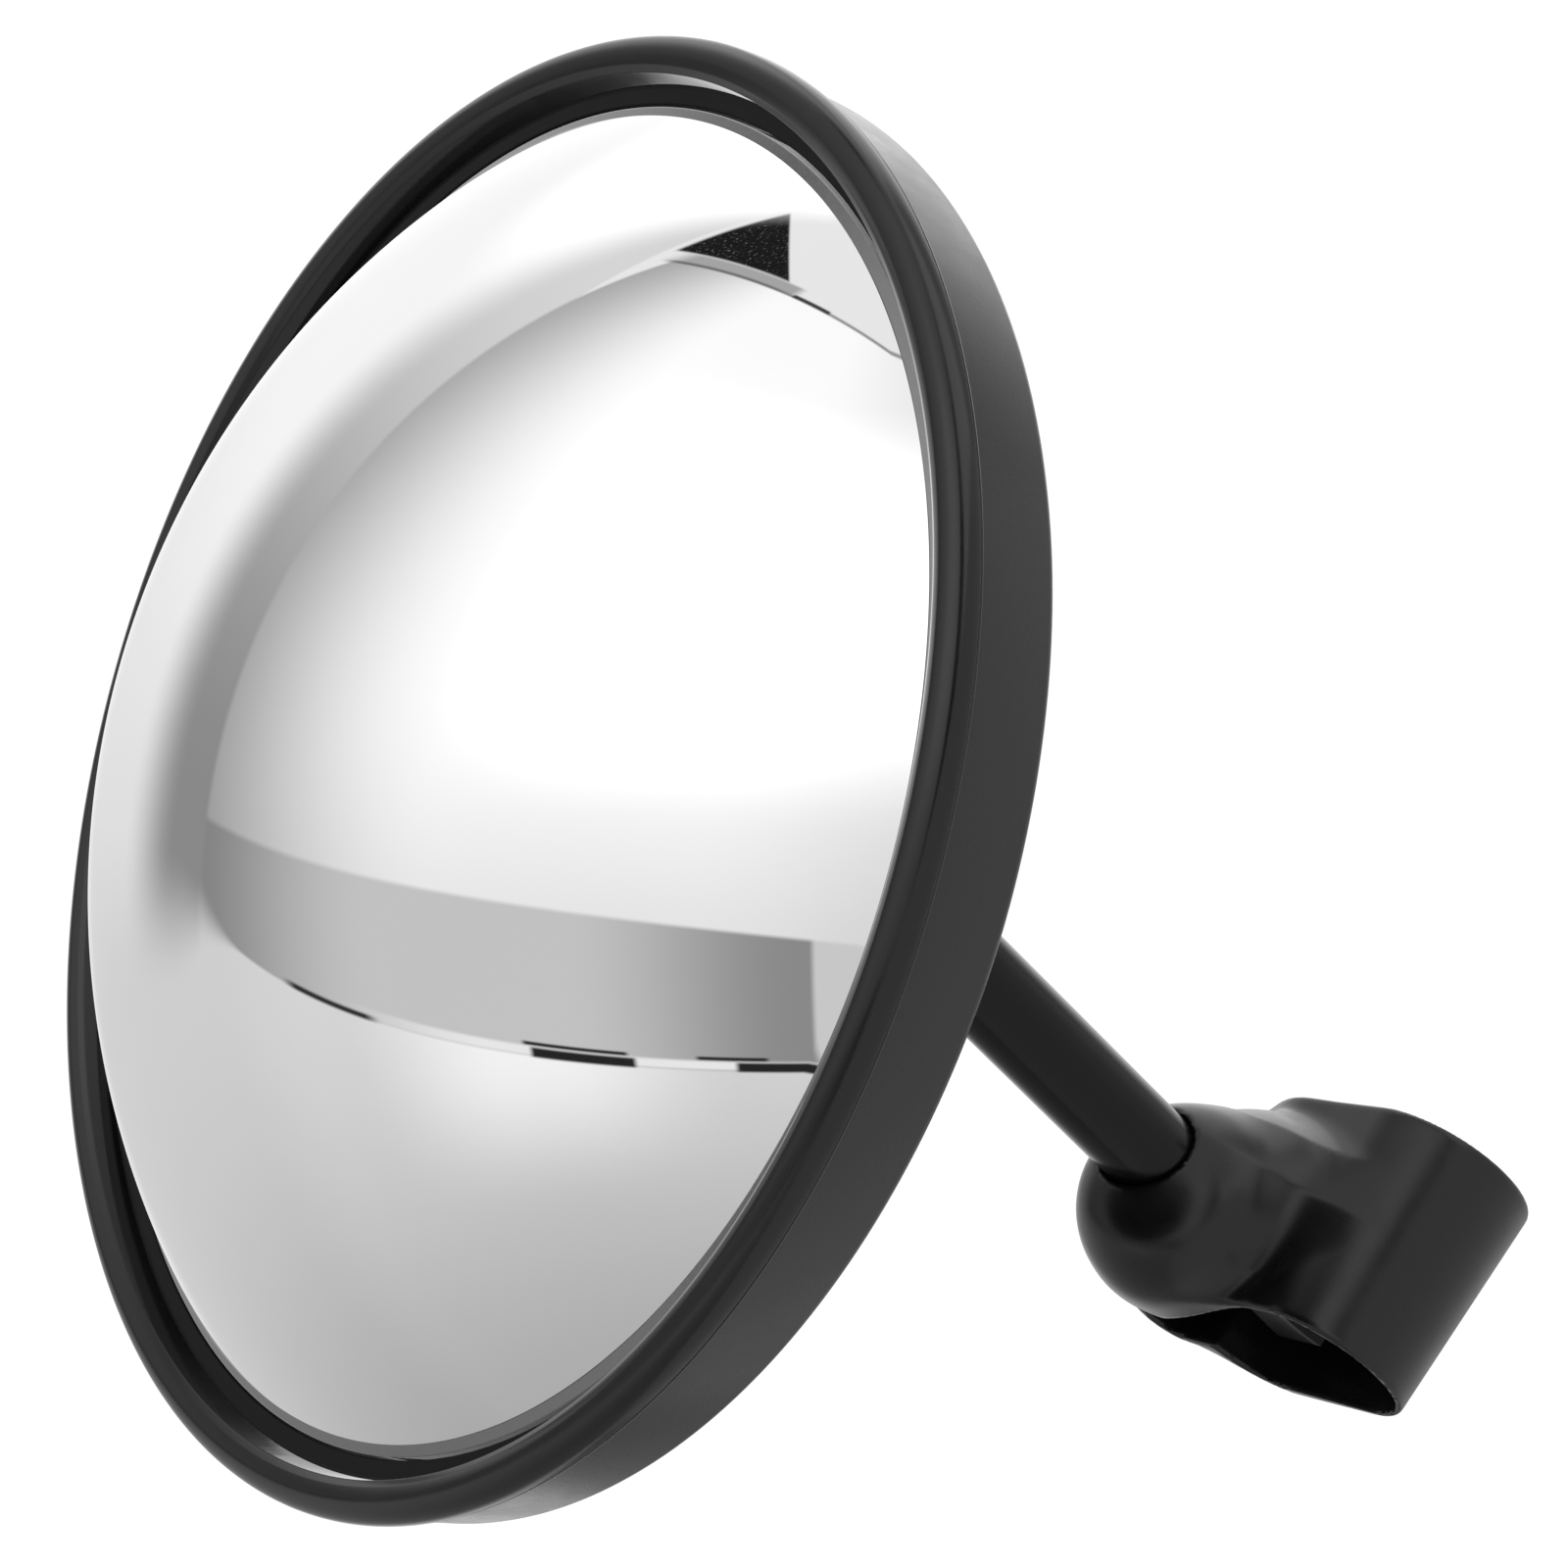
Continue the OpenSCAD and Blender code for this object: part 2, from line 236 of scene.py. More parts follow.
def field_mesh(name, field, low, high, step, place):
    """Surface net round field(x, y, z) < 0, each vertex then moved onto the surface."""
    axes = [np.arange(a, b + step, step) for a, b in zip(low, high)]
    grid = np.meshgrid(*axes, indexing="ij")
    f = field(*grid)
    inside = f < 0
    cells = tuple(n - 1 for n in f.shape)
    total = np.zeros(cells + (3,))
    count = np.zeros(cells)
    corners = [(i, j, k) for i in (0, 1) for j in (0, 1) for k in (0, 1)]
    edges = [(a, b) for a in corners for b in corners
             if a < b and sum(abs(p - q) for p, q in zip(a, b)) == 1]
    part = lambda g, c: g[c[0]:c[0] + cells[0], c[1]:c[1] + cells[1], c[2]:c[2] + cells[2]]
    for a, b in edges:
        fa, fb = part(f, a), part(f, b)
        cut = part(inside, a) != part(inside, b)
        t = np.where(cut, fa / np.where(cut, fa - fb, 1), 0)
        for axis in range(3):
            total[..., axis] += cut * (a[axis] + t * (b[axis] - a[axis]))
        count += cut
    live = count > 0
    index = np.full(cells, -1)
    index[live] = np.arange(live.sum())
    where = np.argwhere(live)
    verts = np.array(low) + (where + total[live] / count[live][:, None]) * step
    faces = []
    for axis in range(3):
        u, v = (axis + 1) % 3, (axis + 2) % 3
        span = [slice(1, n - 1) for n in f.shape]
        span[axis] = slice(0, f.shape[axis] - 1)
        ahead = list(span)
        ahead[axis] = slice(1, f.shape[axis])
        here, there = inside[tuple(span)], inside[tuple(ahead)]
        offset = np.array([s.start for s in span])
        for flip in (False, True):
            hit = np.argwhere((here & ~there) if not flip else (~here & there)) + offset
            ring = []
            for du, dv in ((1, 1), (0, 1), (0, 0), (1, 0)):
                c = hit.copy()
                c[:, u] -= du
                c[:, v] -= dv
                ring.append(index[c[:, 0], c[:, 1], c[:, 2]])
            quads = np.stack(ring if not flip else ring[::-1], axis=1)
            faces.append(quads)
    h = 1e-3
    for _ in range(3):
        x, y, z = verts.T
        d = field(x, y, z)
        g = np.stack([(field(x + h, y, z) - d) / h, (field(x, y + h, z) - d) / h,
                      (field(x, y, z + h) - d) / h], axis=1)
        move = d[:, None] * g / np.maximum((g * g).sum(1, keepdims=True), 0.2)
        verts = verts - np.clip(move, -step / 2, step / 2)
    return new_object(name, verts.tolist(), np.concatenate(faces).tolist(), place)


# ---------------------------------------------------------------- distance fields, mm
def join(a, b, k):
    """Union with a fillet of about k."""
    h = np.clip(0.5 + 0.5 * (b - a) / k, 0, 1)
    return b + (a - b) * h - k * h * (1 - h)


def meet(a, b, k):
    """Intersection with edges rounded by about k."""
    return -join(-a, -b, k)


def capsule(y, z, a, b, ra, rb):
    """Distance in the (y, z) plane to a bar from a to b, radius ra to rb."""
    wy, wz = b[0] - a[0], b[1] - a[1]
    t = np.clip(((y - a[0]) * wy + (z - a[1]) * wz) / (wy * wy + wz * wz), 0, 1)
    return np.hypot(y - a[0] - t * wy, z - a[1] - t * wz) - (ra + (rb - ra) * t)


def bracket_field(x, y, z):
    """Boss, sleeve and neck moulding, in the bracket's frame."""
    # the sleeve's wall grows thicker along x
    along = np.clip((x + SLEEVE_HALF) / (2 * SLEEVE_HALF), 0, 1)
    sleeve = capsule(y, z, (0, 0), (0, -LOBE_GAP), BORE_R + 0.9 + 1.35 * along,
                     BORE_R + 1.2 + along)
    neck = capsule(y, z, (NECK_Y, NECK_Z), (NECK_Y, -LOBE_GAP), NECK_R, NECK_R + 1.5)
    ends = np.abs(x) - SLEEVE_HALF
    plan = meet(join(sleeve, neck, 6.0), ends, 0.9)
    bx, by, bz = BOSS
    boss = np.sqrt((x - bx) ** 2 + (y - by) ** 2 + (z - bz) ** 2) - BOSS_R
    flat = FLAT_OUT[0] * (y - FLAT_AT[0]) + FLAT_OUT[1] * (z - FLAT_AT[1])
    boss = meet(boss, flat, 5.0)
    stem = np.hypot(x - ARM_X - 0.6, z - bz) - (BOSS_R - 3.0 + 1.2 * np.clip((y - 3) / 12, 0, 1))
    stem = meet(stem, np.abs(y - 9) - 6, 3.0)
    # the fillet between boss and sleeve is widest near the middle of the sleeve's length
    waist = 5.0 + 10.0 * np.clip((x + 12) / 12, 0, 1) * np.clip((15.5 - x) / 8, 0, 1)
    body = join(plan, join(boss, stem, 6.0), waist)
    oval = capsule(y, z, (0, 0), (0, -LOBE_GAP), BORE_R, BORE_R)
    pocket = np.maximum(capsule(y, z, (NECK_Y, NECK_Z), (NECK_Y, -LOBE_GAP), NECK_R - 1.5,
                                NECK_R - 1.5), x + SLEEVE_HALF - 9)
    body = meet(body, -join(oval, pocket, 1.2), 0.5)
    swivel = np.hypot(x - ARM_X, z - ARM_Z)
    bush = np.maximum(swivel - BUSH_R, np.abs(y - SOCKET_Y - 5.5) - 5.5)
    mouth = np.maximum(swivel - ARM_R - 0.12, SOCKET_Y + 10 - y)
    bolt = np.maximum(swivel - 2.15, np.abs(y - 11) - 6)
    seat = np.maximum(swivel - 4.9, np.abs(y - 5.4) - 5.4)
    screw = np.maximum(np.hypot(x, y - NECK_Y) - 3.7, z - NECK_Z - 8)
    for cut in (bush, bolt, seat, screw):
        body = np.maximum(body, -cut)
    return meet(body, -mouth, 0.9)


# ---------------------------------------------------------------- head
def bezel_profile():
    """Front bead: step and straight inner wall, rounded lip, round shoulder, thin parting groove."""
    centre = HEAD_R - BEAD_R
    shoulder = [(r, z) for r, z in arc(centre, 0, BEAD_R, 100, -9, 26) if z > -0.1]
    groove = [(HEAD_R, -0.12, 0.03), (HEAD_R - 0.5, -0.14), (HEAD_R - 0.5, -0.38),
              (HEAD_R - 0.04, -0.40, 0.03)]
    lip = [(STEP_R, LEDGE_Z), (STEP_R, STEP_Z, 0.25), (LIP_R, STEP_Z, 0.4),
           (LIP_R, LIP_Z, 0.3), (LIP_R + 0.7, LIP_Z + 0.55, 0.6)]
    inner_r = SKIN_R - SKIN_T - 0.05
    foot = [(HEAD_R - 0.1, SEAM_Z), (inner_r, SEAM_Z), (inner_r, LEDGE_Z)]
    return [tuple(p) for p in rounded(lip + shoulder + groove + foot)]


def back_z(r):
    """Height of the domed back at radius r."""
    t = (BACK_R - r) / (BACK_R - TOWER_R - 3)
    return -WALL_H - 0.1 - BACK_RISE * max(t, 0) ** 0.8


def shell_profile():
    """Side wall, domed back, tower with the ball socket, ledge and floor."""
    outer = [(SKIN_R - 0.8, SEAM_Z - 0.05), (SKIN_R - 0.8, SEAM_Z - 0.35), (SKIN_R, SEAM_Z - 0.35, 0.1),
             (SKIN_R, SEAM_Z - 0.8), (SKIN_R, -WALL_H, 1.15)]
    dome = [(r, back_z(r)) for r in ramp(BACK_R, TOWER_R + 3.6, 40)]
    tower = [(TOWER_R + 0.05, -25.6, 2.4), (TOWER_R, -BALL_BACK, 0.3)]
    socket = [(LINER_R, -BALL_BACK)] + arc(0, -BALL_BACK, LINER_R, 4, 69, 16)
    inside = [(4.0, TOWER_FLOOR, 0.3), (TOWER_R - 0.5, TOWER_FLOOR, 0.6),
              (FLOOR_R, back_z(FLOOR_R) + BACK_T, 1)]
    floor = [(r, back_z(r) + BACK_T) for r in ramp(FLOOR_R, FOOT_R - 1, 24)]
    ledge = [(FOOT_R - 1, LEDGE_Z, 0.3), (SKIN_R - SKIN_T, LEDGE_Z), (SKIN_R - SKIN_T, SEAM_Z - 0.05, 0.12)]
    return [tuple(p) for p in rounded(outer + dome + tower + socket + inside + floor + ledge)]


def mirror_profile():
    """Domed front, ground bevel, edge, foot and hollow back."""
    bevel_r = MIRROR_R - BEVEL_W
    a0 = math.degrees(math.acos(bevel_r / DOME_R))
    front = arc(0, DOME_C, DOME_R, 90, a0, 96)
    back_a = math.degrees(math.acos(FOOT_R / (DOME_R - MIRROR_T)))
    z = front[-1][1]
    edge = [(bevel_r + 0.03, z - 0.12), (MIRROR_R - 0.12, z - 0.5), (MIRROR_R, z - 0.62),
            (MIRROR_R, FOOT_Z)]
    back = [(FOOT_R, FOOT_Z)] + arc(0, DOME_C, DOME_R - MIRROR_T, back_a, 90, 48)
    return front, edge + back


bezel = sharpen(lathe("bezel", bezel_profile(), head_m, 320))
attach(bezel, "head")
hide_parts("bezel_ring")

shell = sharpen(lathe("shell", shell_profile(), head_m, 320), 40)
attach(shell, "head")
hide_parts("back_shell")
# The rim is hidden from reflection rays, so that the dome stays bright right up to its edge band.
for part in (bezel, shell):
    part.visible_glossy = False

front, rest = mirror_profile()
mirror = sharpen(lathe("mirror", [(0, front[0][1])] + front[1:] + rest[:-1] + [(0, rest[-1][1])],
                       head_m, 320, closed=False), 20)
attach(mirror, "head")
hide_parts("mirror_glass")


# ---------------------------------------------------------------- arm
def sweep(name, stations, radii, segments=96):
    """Tube through stations (centre, direction) in metres with outer radii in mm."""
    verts, faces = [], []
    for (centre, direction), r in zip(stations, radii):
        across = bend_n.cross(direction).normalized()
        for k in range(segments):
            t = 2 * math.pi * k / segments
            verts.append(centre + (bend_n * math.cos(t) + across * math.sin(t)) * r * MM)
    for i in range(len(stations) - 1):
        for k in range(segments):
            j = (k + 1) % segments
            faces.append([i * segments + k, i * segments + j, (i + 1) * segments + j,
                          (i + 1) * segments + k])
    faces.append(list(range(segments))[::-1])
    faces.append([(len(stations) - 1) * segments + k for k in range(segments)])
    mesh = bpy.data.meshes.new(name)
    mesh.from_pydata(verts, [], faces)
    obj = bpy.data.objects.new(name, mesh)
    bpy.context.scene.collection.objects.link(obj)
    return sharpen(obj, 30)


def tube_profile():
    """Straight tube from inside the elbow to inside the boss."""
    r0, r1 = ARM_R - ARM_T, ARM_R
    z0, z1 = bend_tan + 2, ARM_LEN + 1.7
    pts = [(r0, z0), (r1, z0, 0.25)]
    pts += [(r1, z0 + (z1 - z0) * k / 12) for k in range(1, 12)]
    pts += [(r1, z1, 0.25), (r0, z1)]
    return [tuple(p) for p in rounded(pts)]


arm_place = basis(bend_point, bend_n, (-rise).cross(bend_n), -rise)
arm = sharpen(lathe("arm", tube_profile(), arm_place, 160))
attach(arm, "arm")
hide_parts("arm_tube")

inward = bend_n.cross(face)
centre = bend_point + (face * bend_tan + inward * BEND_R) * MM
stations, radii = [], []
straight = BEND_BACK - bend_tan - TUBE_START
for d, dr in [(0, 0.9), (0.25, 1.35), (0.7, COLLAR_T), (straight - 1.4, COLLAR_T),
              (straight - 0.8, 1.4), (straight - 0.3, 1.05)]:
    stations.append((bend_point + face * (BEND_BACK - TUBE_START - d) * MM, -face))
    radii.append(ARM_R + dr)
for k in range(25):
    t = bend_ang * k / 24
    direction = (-face) * math.cos(t) + inward * math.sin(t)
    outward = -inward * math.cos(t) - face * math.sin(t)
    stations.append((centre + outward * BEND_R * MM, direction))
    radii.append(ARM_R + 1.0)
for d, dr in [(0.3, 1.05), (0.8, 1.4), (1.4, COLLAR_T), (9.3, COLLAR_T), (9.8, 1.35), (10.0, 0.9),
              (10.0, 0.03)]:
    stations.append((bend_point - rise * (bend_tan + d) * MM, -rise))
    radii.append(ARM_R + dr)
elbow = sweep("elbow", stations, radii)
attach(elbow, "arm")
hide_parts("arm_elbow")


# ---------------------------------------------------------------- bracket
bracket = field_mesh("bracket", bracket_field, (-23.5, -15.5, -43), (18.5, 35, 16), 0.5, bracket_m)
sharpen(bracket, 50)
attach(bracket, "bracket")
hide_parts("clamp_body")


def threaded(name, radius, pitch, depth, z0, z1, socket, place, segments=48):
    """Grub screw: a helical thread that fades out at both ends, and a hex socket at z0."""
    verts, faces = [], []
    rows = int((z1 - z0) / pitch * 8)
    for i in range(rows + 1):
        z = z0 + (z1 - z0) * i / rows
        end = min((z - z0) / pitch, (z1 - z) / pitch, 1)
        for k in range(segments):
            t = 2 * math.pi * k / segments
            phase = ((z - z0) / pitch - k / segments) % 1
            groove = max(0.0, 1 - abs(phase - 0.5) / 0.38) * depth * max(end, 0)
            r = radius - groove - (1 - max(end, 0)) * depth
            verts.append((r * math.cos(t), r * math.sin(t), z))
    for i in range(rows):
        for k in range(segments):
            j = (k + 1) % segments
            low, high = i * segments, (i + 1) * segments
            faces.append([low + k, low + j, high + j, high + k])
    last = rows * segments
    faces.append([last + k for k in range(segments)])
    hexa = []
    for z in (z0, z0 + 3.2):
        ring = []
        for k in range(segments):
            t = 2 * math.pi * k / segments
            r = socket / math.cos((t + math.pi / 6) % (math.pi / 3) - math.pi / 6)
            ring.append(len(verts))
            verts.append((r * math.cos(t), r * math.sin(t), z))
        hexa.append(ring)
    for k in range(segments):
        j = (k + 1) % segments
        faces.append([j, k, hexa[0][k], hexa[0][j]])
        faces.append([hexa[0][j], hexa[0][k], hexa[1][k], hexa[1][j]])
    faces.append(hexa[1][::-1])
    return sharpen(new_object(name, verts, faces, place), 35)


grub_place = basis(bracket_m @ (Vector((0, NECK_Y, 0)) * MM), (1, 0, 0), rise, side)
grub = threaded("grub_screw", GRUB_R, THREAD_PITCH, THREAD_DEPTH, GRUB_Z, GRUB_Z + GRUB_LEN,
                HEX_HALF, grub_place)
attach(grub, "grub_screw")
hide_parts("clamp_screw")

for node, width in (("socket_collar", 0.4), ("collar_screws", 0.2), ("collar_washers", 0.08),
                    ("ball_stud", 0.2), ("arm_insert", 0.3), ("arm_bushing", 0.25),
                    ("arm_washer", 0.12), ("arm_screw", 0.2), ("clamp_saddle", 0.6),
                    ("saddle_pad", 0.2), ("clamp_insert", 0.25), ("socket_liner", 0.15),
                    ("glass_tape", 0.1)):
    soften(node, width)


# ---------------------------------------------------------------- node helpers
class Graph:
    """Short calls for building a node tree."""

    def __init__(self, tree):
        self.tree = tree
        tree.nodes.clear()

    def node(self, kind, inputs=(), **settings):
        n = self.tree.nodes.new(kind)
        for key, value in settings.items():
            setattr(n, key, value)
        for key, value in dict(inputs).items():
            if isinstance(value, bpy.types.NodeSocket):
                self.tree.links.new(value, n.inputs[key])
            else:
                n.inputs[key].default_value = value
        return n

    def math(self, op, a, b=0.0):
        return self.node("ShaderNodeMath", {0: a, 1: b}, operation=op).outputs[0]

    def vector(self, op, a, b):
        return self.node("ShaderNodeVectorMath", {0: a, 1: tuple(b)}, operation=op)

    def dot(self, v, axis):
        return self.vector("DOT_PRODUCT", v, axis).outputs["Value"]

    def step(self, x, low, high, out_low=0.0, out_high=1.0):
        """Smooth step from out_low at low to out_high at high."""
        return self.node("ShaderNodeMapRange", {0: x, 1: low, 2: high, 3: out_low, 4: out_high},
                         interpolation_type="SMOOTHSTEP").outputs[0]

    def mix(self, t, a, b):
        """Colour a at t = 0 to colour b at t = 1."""
        n = self.node("ShaderNodeMix", {"Factor": t}, data_type="RGBA")
        for socket, value in (("A", a), ("B", b)):
            target = [i for i in n.inputs if i.name == socket and i.type == "RGBA"][0]
            if isinstance(value, bpy.types.NodeSocket):
                self.tree.links.new(value, target)
            else:
                target.default_value = value
        return [o for o in n.outputs if o.type == "RGBA"][0]

    def lerp(self, t, a, b):
        """Value a at t = 0 to value b at t = 1."""
        n = self.node("ShaderNodeMix", {0: t}, data_type="FLOAT")
        for key, value in ((2, a), (3, b)):
            if isinstance(value, bpy.types.NodeSocket):
                self.tree.links.new(value, n.inputs[key])
            else:
                n.inputs[key].default_value = value
        return n.outputs[0]

    def noise(self, vector, scale, detail=4.0, rough=0.5):
        return self.node("ShaderNodeTexNoise", {"Vector": vector, "Scale": scale, "Detail": detail,
                                                "Roughness": rough}).outputs["Fac"]

    def bump(self, height, strength, distance):
        return self.node("ShaderNodeBump", {"Height": height, "Strength": strength,
                                            "Distance": distance}).outputs[0]


def grey(v):
    return (v, v, v, 1)


def material(name):
    """New material with a Principled shader: (material, graph, object coordinates, shader)."""
    m = bpy.data.materials.new(name)
    m.use_nodes = True
    g = Graph(m.node_tree)
    place = g.node("ShaderNodeTexCoord").outputs["Object"]
    shader = g.node("ShaderNodeBsdfPrincipled")
    out = g.node("ShaderNodeOutputMaterial")
    g.tree.links.new(shader.outputs[0], out.inputs[0])
    return m, g, place, shader


def link(g, socket, shader, name):
    g.tree.links.new(socket, shader.inputs[name])


def plastic(name, dark, light, rough_low, rough_high, specular, grain, grain_size):
    """Black moulded plastic: slow tone drift, uneven gloss, fine grain, sparse pale dust."""
    m, g, place, shader = material(name)
    drift = g.noise(place, 18.0, 3.0)
    dust = g.step(g.noise(place, 1500.0, 1.0), 0.80, 0.84)
    patch = g.step(g.noise(place, 55.0, 2.0), 0.62, 0.75)
    tone = g.mix(drift, dark, light)
    tone = g.mix(g.math("MULTIPLY", g.math("MULTIPLY", dust, patch), 0.35), tone, grey(0.30))
    link(g, tone, shader, "Base Color")
    gloss = g.math("ADD", g.math("MULTIPLY", g.noise(place, 130.0, 5.0, 0.6), 0.7),
                   g.math("MULTIPLY", g.noise(place, 9.0, 2.0), 0.3))
    link(g, g.step(gloss, 0.3, 0.7, rough_low, rough_high), shader, "Roughness")
    link(g, g.bump(g.noise(place, grain_size, 2.0), grain, 0.00006), shader, "Normal")
    shader.inputs["Specular IOR Level"].default_value = specular
    return m


def metal(name, low, high, rough_low, rough_high, stretch):
    """Turned or plated metal: tool lines along `stretch`, cloudy plating, rough patches."""
    m, g, place, shader = material(name)
    scaled = g.vector("MULTIPLY", place, stretch).outputs[0]
    lines = g.noise(scaled, 1.0, 5.0, 0.6)
    cloud = g.noise(place, 90.0, 3.0)
    link(g, g.mix(cloud, low, high), shader, "Base Color")
    link(g, g.step(g.math("ADD", g.math("MULTIPLY", lines, 0.5), g.math("MULTIPLY", cloud, 0.5)),
                   0.35, 0.65, rough_low, rough_high), shader, "Roughness")
    link(g, g.bump(lines, 0.15, 0.00005), shader, "Normal")
    shader.inputs["Metallic"].default_value = 1.0
    return m


# ---------------------------------------------------------------- materials
bead_black = plastic("bead_black", grey(0.003), grey(0.005), 0.15, 0.22, 0.42, 0.08, 3800.0)
step_black = plastic("step_black", grey(0.003), grey(0.005), 0.34, 0.48, 0.12, 0.10, 3000.0)
satin = plastic("satin_black", grey(0.005), grey(0.008), 0.26, 0.36, 0.5, 0.16, 3800.0)
wall_black = plastic("wall_black", grey(0.006), grey(0.009), 0.24, 0.33, 0.5, 0.2, 2600.0)
moulded = plastic("bracket_black", grey(0.002), grey(0.004), 0.25, 0.33, 0.45, 0.08, 1800.0)
coated = plastic("coated_black", grey(0.002), grey(0.003), 0.15, 0.22, 0.24, 0.12, 3000.0)
steel = metal("zinc_steel", grey(0.42), grey(0.60), 0.22, 0.40, (400.0, 400.0, 3000.0))
alloy = metal("machined_alloy", grey(0.52), grey(0.66), 0.25, 0.42, (3200.0, 250.0, 250.0))
brass = metal("brass", (0.62, 0.40, 0.13, 1), (0.76, 0.55, 0.22, 1), 0.2, 0.36, (500.0, 3000.0, 500.0))
oxide = metal("black_oxide", grey(0.035), grey(0.07), 0.28, 0.46, (300.0, 2600.0, 2600.0))


def lip_material():
    """Glossy inner wall of the bezel, with pale streaks round the ring painted into its colour as
    highlights.
    """
    m, g, place, shader = material("lip_black")
    offset = g.vector("SUBTRACT", place, head_m.translation).outputs[0]
    x = g.dot(offset, face_x)
    y = g.dot(offset, face_y)
    angle = g.math("ARCTAN2", y, x)
    radius = g.math("SQRT", g.math("ADD", g.math("MULTIPLY", x, x), g.math("MULTIPLY", y, y)))
    polar = g.node("ShaderNodeCombineXYZ", {0: g.math("MULTIPLY", angle, 2.2),
                                            1: g.math("MULTIPLY", radius, 5200.0)}).outputs[0]
    streak = g.noise(polar, 1.0, 4.0, 0.6)
    patch = g.step(g.noise(place, 38.0, 3.0), 0.50, 0.62)
    # painted highlight: pale streaks that run round the ring are put into the base colour
    painted_highlight_streaks = g.math("MULTIPLY", g.step(streak, 0.56, 0.66), patch)
    link(g, g.mix(painted_highlight_streaks, grey(0.003), grey(0.11)), shader, "Base Color")
    link(g, g.step(streak, 0.35, 0.7, 0.07, 0.2), shader, "Roughness")
    link(g, g.bump(streak, 0.5, 0.00025), shader, "Normal")
    shader.inputs["Specular IOR Level"].default_value = 0.45
    return m


def mirror_materials():
    """Silvered front with faint haze, smears and dust; ground bevel; painted back."""
    m, g, place, shader = material("mirror_silver")
    haze = g.noise(place, 22.0, 4.0, 0.55)
    smear = g.noise(g.vector("MULTIPLY", place, (160.0, 420.0, 160.0)).outputs[0], 1.0, 4.0, 0.6)
    speck = g.step(g.noise(place, 900.0, 1.0), 0.815, 0.835)
    speck = g.math("MULTIPLY", speck, g.step(g.noise(place, 40.0, 2.0), 0.6, 0.72))
    link(g, g.mix(speck, g.mix(haze, grey(0.90), grey(0.94)), grey(0.25)), shader, "Base Color")
    film = g.math("MULTIPLY", g.step(haze, 0.5, 0.75), g.step(smear, 0.45, 0.7))
    link(g, g.math("ADD", g.math("MULTIPLY", film, 0.03), 0.012), shader, "Roughness")
    shader.inputs["Metallic"].default_value = 1.0
    bevel, b, where, bshader = material("ground_bevel")
    grind = b.noise(where, 1500.0, 3.0)
    link(b, b.mix(grind, grey(0.195), grey(0.225)), bshader, "Base Color")
    link(b, b.step(grind, 0.3, 0.7, 0.16, 0.22), bshader, "Roughness")
    link(b, b.bump(grind, 0.05, 0.00005), bshader, "Normal")
    bshader.inputs["Metallic"].default_value = 1.0
    back, k, spot, kshader = material("mirror_paint")
    wash = k.noise(spot, 60.0, 3.0)
    link(k, k.mix(wash, grey(0.10), grey(0.16)), kshader, "Base Color")
    link(k, k.step(wash, 0.3, 0.7, 0.45, 0.6), kshader, "Roughness")
    return m, bevel, back


def soft_material(name, low, high, rough, scale, bump, sheen=0.0):
    """Rubber, foam or nylon: mottled tone and a fine cellular or matte surface."""
    m, g, place, shader = material(name)
    cells = g.node("ShaderNodeTexVoronoi", {"Vector": place, "Scale": scale}).outputs["Distance"]
    mottle = g.noise(place, scale * 0.2, 3.0)
    link(g, g.mix(mottle, low, high), shader, "Base Color")
    link(g, g.step(mottle, 0.3, 0.7, rough - 0.06, rough + 0.06), shader, "Roughness")
    link(g, g.bump(g.math("ADD", cells, mottle), bump, 0.0001), shader, "Normal")
    shader.inputs["Sheen Weight"].default_value = sheen
    return m


nylon = soft_material("natural_nylon", (0.62, 0.60, 0.53, 1), (0.70, 0.68, 0.61, 1), 0.42, 1400.0, 0.08)
rubber = soft_material("grip_rubber", grey(0.012), grey(0.022), 0.62, 2200.0, 0.25, 0.1)
foam = soft_material("foam_tape", grey(0.02), grey(0.035), 0.85, 2600.0, 0.5)
silver, ground, paint = mirror_materials()
lip_black = lip_material()


def dress(obj, *mats):
    """Give the object these materials and no others."""
    obj.data.materials.clear()
    for m in mats:
        obj.data.materials.append(m)


dress(bezel, bead_black, lip_black, step_black)
to_head = head_m.inverted()
for p in bezel.data.polygons:
    c = to_head @ p.center / MM
    if math.hypot(c.x, c.y) < LIP_R + 0.01 and c.z < LIP_Z - 0.3:
        p.material_index = 1 if c.z > STEP_Z + 0.5 else 2
dress(shell, wall_black)
dress(arm, coated)
dress(elbow, satin)
dress(bracket, moulded)
dress(grub, oxide)
for node, mat in (("socket_collar", satin), ("collar_screws", steel), ("collar_washers", steel),
                  ("ball_stud", steel), ("arm_insert", alloy), ("arm_bushing", nylon),
                  ("arm_washer", steel), ("arm_screw", steel), ("clamp_saddle", oxide),
                  ("saddle_pad", rubber), ("clamp_insert", brass), ("socket_liner", nylon),
                  ("glass_tape", foam)):
    dress(nodes[node], mat)

dress(mirror, silver, ground, paint)
bevel_z = DOME_C + math.sqrt(DOME_R ** 2 - (MIRROR_R - BEVEL_W) ** 2)
for p in mirror.data.polygons:
    c = to_head @ p.center / MM
    r = math.hypot(c.x, c.y)
    outer = math.sqrt(r * r + (c.z - DOME_C) ** 2) > DOME_R - 0.2
    if r > MIRROR_R - BEVEL_W:
        p.material_index = 1 if c.z > bevel_z - 1.5 else 2
    elif not outer:
        p.material_index = 2


